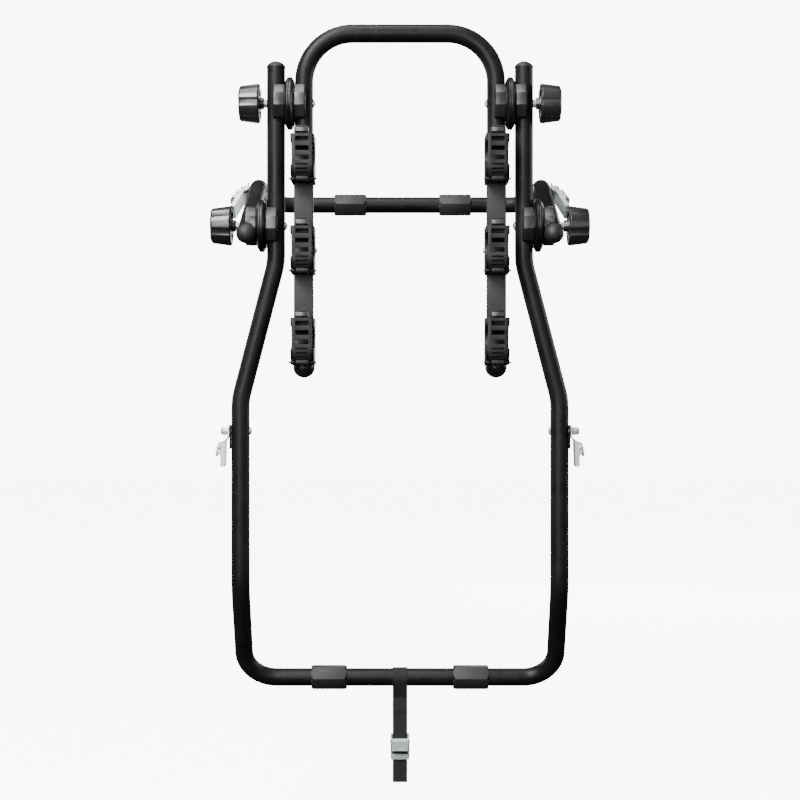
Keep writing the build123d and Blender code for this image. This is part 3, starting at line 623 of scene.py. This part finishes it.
def close_heads(form):
    """Merges the doubled points of spun heads and turns their faces outwards."""
    bmesh.ops.remove_doubles(form, verts=form.verts, dist=HEAD_MERGE)
    bmesh.ops.recalc_face_normals(form, faces=form.faces)
    smooth_shading(form, HEAD_CREASE)


for joint in frame["joints"]:
    if "_cam_press" in joint["name"]:
        axle, across = Vector(joint["pos_m"]), Vector(joint["axis"])
        rivets = bmesh.new()
        for way in (across, -across):
            round_head(rivets, axle + way * BUCKLE_HALF, way, RIVET_RADIUS, RIVET_HEIGHT)
        close_heads(rivets)
        add_piece(f"{joint['name']}_rivets", rivets, joint["parent"], zinc)

# A cradle's pin lies a little above the cradle's lowest point, and the screw stands above the pin.
CRADLE_FOOT = 0.0035
SCREW_ABOVE_PIN = 0.036
for side, outward in SIDES.items():
    low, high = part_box(f"cradle_{side}_2")
    inner_x = high[0] if outward < 0 else low[0]
    screw = bmesh.new()
    round_head(screw, (inner_x, MAIN_PLANE_Y, low[2] + CRADLE_FOOT + SCREW_ABOVE_PIN), (-outward, 0, 0),
               SCREW_RADIUS, SCREW_HEIGHT)
    close_heads(screw)
    add_piece(f"cradle_screw_{side}", screw, "carrier_frame", zinc)
print("rivets on every axle and a screw on each arm")

# %% [markdown]
# ## Knuckles of the ladder straps
#
# Each ladder strap ends in a thick round knuckle in front of the pin that it turns on. It is a
# cylinder with its end edges rounded, turned to lie across the arm, and it swings with its strap.
# create_cone with two equal radii makes the cylinder, closed at both ends.

# %% Make the knuckles
KNUCKLE_RADIUS, KNUCKLE_LENGTH, KNUCKLE_ROUND = 0.0047, 0.0204, 0.0014
KNUCKLE_FACETS, KNUCKLE_CREASE = 40, 60
PIN_FORWARD, KNUCKLE_FORWARD = 0.0436, 0.0062
knuckle_y = MAIN_PLANE_Y - PIN_FORWARD - KNUCKLE_FORWARD
for side in SIDES:
    for number in (1, 2, 3):
        low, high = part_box(f"cradle_{side}_{number}")
        middle = ((low[0] + high[0]) / 2, knuckle_y, low[2] + CRADLE_FOOT)
        knuckle = bmesh.new()
        bmesh.ops.create_cone(knuckle, cap_ends=True, segments=KNUCKLE_FACETS, radius1=KNUCKLE_RADIUS,
                              radius2=KNUCKLE_RADIUS, depth=KNUCKLE_LENGTH,
                              matrix=Matrix.Translation(middle) @ Matrix.Rotation(pi / 2, 4, "Y"))
        ends = [edge for edge in knuckle.edges if edge.calc_face_angle(0) > radians(KNUCKLE_CREASE)]
        bmesh.ops.bevel(knuckle, geom=ends, offset=KNUCKLE_ROUND, offset_type="OFFSET", segments=3,
                        profile=0.5, affect="EDGES", clamp_overlap=True, material=-1)
        smooth_shading(knuckle, KNUCKLE_CREASE)
        strap_body = body_of[f"ladder_strap_{side}_{number}"]
        piece = add_piece(f"strap_knuckle_{side}_{number}", knuckle, strap_body, strap_rubber)
print("six knuckles")

# %% [markdown]
# ## The webbing strap
#
# Black polyester webbing, 25 mm wide, goes round the bottom bar, is sewn to itself below it and
# runs down through the buckle. It is a flat grid that is laid along its route point by point, and
# a Solidify modifier gives it its thickness. Its own UV map runs across and along the strap, so
# that the weave follows it round the bar.

# %% The strap's route
WEB_WIDTH, WEB_THICK = 0.025, 0.0015
BAR_RADIUS = 0.0153
# The two plies meet at the gather, are sewn down to the sewn end and leave one ply for the tail.
GATHER_Z, SEWN_END_Z, TAIL_Z = -0.034, -0.057, -0.1785
PLY_OFFSET = 0.0009
PLY_JOINS_WITHIN = 0.006
ARC_STEPS = 28
wrap_radius = BAR_RADIUS + WEB_THICK / 2


def tangent_angle(side):
    """Where the straight run from the gather point meets the circle round the bar."""
    y, z = side * PLY_OFFSET, GATHER_Z
    return atan2(z, y) + side * acos(wrap_radius / hypot(y, z))


route = [(PLY_OFFSET, SEWN_END_Z), (PLY_OFFSET, GATHER_Z)]
start_angle, end_angle = tangent_angle(1), tangent_angle(-1)
while end_angle < start_angle:
    end_angle += 2 * pi
for step in range(ARC_STEPS + 1):
    angle = start_angle + (end_angle - start_angle) * step / ARC_STEPS
    route.append((wrap_radius * cos(angle), wrap_radius * sin(angle)))
route += [(-PLY_OFFSET, GATHER_Z), (-PLY_OFFSET, SEWN_END_Z), (0, SEWN_END_Z - PLY_JOINS_WITHIN),
          (0, TAIL_Z)]
marks = [0.0]
for (y0, z0), (y1, z1) in zip(route, route[1:]):
    marks.append(marks[-1] + hypot(y1 - y0, z1 - z0))
WEB_LENGTH = marks[-1]
print("webbing of", round(WEB_LENGTH * 1000), "mm")


def on_route(along):
    """The place in the route's plane at a length along it."""
    for index in range(len(route) - 1):
        if along <= marks[index + 1] or index == len(route) - 2:
            share = (along - marks[index]) / (marks[index + 1] - marks[index])
            (y0, z0), (y1, z1) = route[index], route[index + 1]
            return y0 + (y1 - y0) * share, z0 + (z1 - z0) * share


# %% [markdown]
# The grid is made a metre square and each of its points is then moved onto the route. Its UVs are
# made with it, before it is bent, so they stay straight.

# %% Lay the webbing
ACROSS, ALONG = 6, 180
WEB_CREASE = 80
web_form = bmesh.new()
web_form.loops.layers.uv.new("weave")
bmesh.ops.create_grid(web_form, x_segments=ACROSS, y_segments=ALONG, size=0.5, calc_uvs=True)
for vert in web_form.verts:
    y, z = on_route((vert.co.y + 0.5) * WEB_LENGTH)
    vert.co = (vert.co.x * WEB_WIDTH, y, z)
smooth_shading(web_form, WEB_CREASE)
print(len(web_form.verts), "points in the webbing")

# %% [markdown]
# Webbing has lengthwise ribs and a cross thread, the pick, that shows as small steps. Two sine
# waves multiplied give that checker, which drives both the colour and the bump. An image could do
# the same, but waves stay sharp at any distance and need no file.

# %% Weave the finish
RIBS_ACROSS, PICKS_PER_METRE = 14, 640
WEAVE_RELIEF = 0.0003
WEB_DARK, WEB_LIGHT = grey(0.003), grey(0.014)
WEB_ROUGHNESS, WEB_SHEEN = 0.75, 0.05
web_finish = bpy.data.materials.new("woven_webbing")
web_finish.use_nodes = True
web_tree = web_finish.node_tree
web_shader = web_tree.nodes["Principled BSDF"]
web_map = web_tree.nodes.new("ShaderNodeUVMap")
web_map.uv_map = "weave"
web_axes = web_tree.nodes.new("ShaderNodeSeparateXYZ")
web_tree.links.new(web_map.outputs[0], web_axes.inputs[0])
warp = maths(web_tree, "SINE", maths(web_tree, "MULTIPLY", web_axes.outputs["X"], 2 * pi * RIBS_ACROSS))
picks = maths(web_tree, "MULTIPLY", web_axes.outputs["Y"], 2 * pi * PICKS_PER_METRE * WEB_LENGTH)
weft = maths(web_tree, "SINE", picks)
crossing = maths(web_tree, "MULTIPLY_ADD", maths(web_tree, "MULTIPLY", warp, weft), 0.5, 0.5)
web_tree.links.new(mix_colour(web_tree, crossing, WEB_DARK, WEB_LIGHT), web_shader.inputs["Base Color"])
web_bump = web_tree.nodes.new("ShaderNodeBump")
web_bump.inputs["Distance"].default_value = WEAVE_RELIEF
web_tree.links.new(crossing, web_bump.inputs["Height"])
web_tree.links.new(web_bump.outputs[0], web_shader.inputs["Normal"])
web_shader.inputs["Roughness"].default_value = WEB_ROUGHNESS
web_shader.inputs["Sheen Weight"].default_value = WEB_SHEEN
print("ribs every", round(1000 * WEB_WIDTH / RIBS_ACROSS, 2), "mm")

# %% [markdown]
# A strap has a thickness, which a sheet has not. Solidify gives it, evenly to both sides of the
# route, and stays live. The webbing rides on the strap's own body and stands for the plain solid.

# %% Thicken the webbing
webbing = add_piece("webbing_cloth", web_form, "tie_strap", web_finish)
thickening = webbing.modifiers.new("thickness", "SOLIDIFY")
thickening.thickness = WEB_THICK
thickening.offset = 0
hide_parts("webbing_strap")
print("webbing", round(1000 * WEB_WIDTH), "by", round(1000 * WEB_LENGTH), "mm, laid flat")

# %% [markdown]
# ## Stitches
#
# The loop is closed by a sewn box with a cross in it. Each stitch is a small ball, flattened and
# drawn out along its seam, and each shows on both faces of the strap.

# %% Sew the box
STITCH_LONG, STITCH_WIDE, STITCH_PITCH = 0.0024, 0.0006, 0.003
STITCH_CREASE = 80
BOX_HALF, BOX_TOP, BOX_LOW = 0.0095, -0.0375, -0.0555
box_corners = [(-BOX_HALF, BOX_TOP), (BOX_HALF, BOX_TOP), (BOX_HALF, BOX_LOW), (-BOX_HALF, BOX_LOW)]
seams = [(box_corners[i], box_corners[(i + 1) % 4]) for i in range(4)]
seams += [(box_corners[0], box_corners[2]), (box_corners[1], box_corners[3])]
face_y = PLY_OFFSET + WEB_THICK / 2
sewing = bmesh.new()
for (x0, z0), (x1, z1) in seams:
    run = hypot(x1 - x0, z1 - z0)
    count = max(2, round(run / STITCH_PITCH))
    lie = Matrix.Rotation(-atan2(z1 - z0, x1 - x0), 4, "Y")
    for index in range(count):
        share = (index + 0.5) / count
        for face in (-face_y, face_y):
            middle = Matrix.Translation((x0 + (x1 - x0) * share, face, z0 + (z1 - z0) * share))
            shape = Matrix.Diagonal((STITCH_LONG / 2, STITCH_WIDE / 2, STITCH_WIDE / 2, 1))
            bmesh.ops.create_icosphere(sewing, subdivisions=2, radius=1, matrix=middle @ lie @ shape)
smooth_shading(sewing, STITCH_CREASE)
print(len(sewing.faces), "faces in the stitches")
thread = hard_finish("sewing_thread", grey(0.012), grey(0.03), rough=0.6, grains=4000,
                     bump=COARSE_RELIEF, dust=0.0, scuffs=0.0)
add_piece("loop_stitches", sewing, "tie_strap", thread)
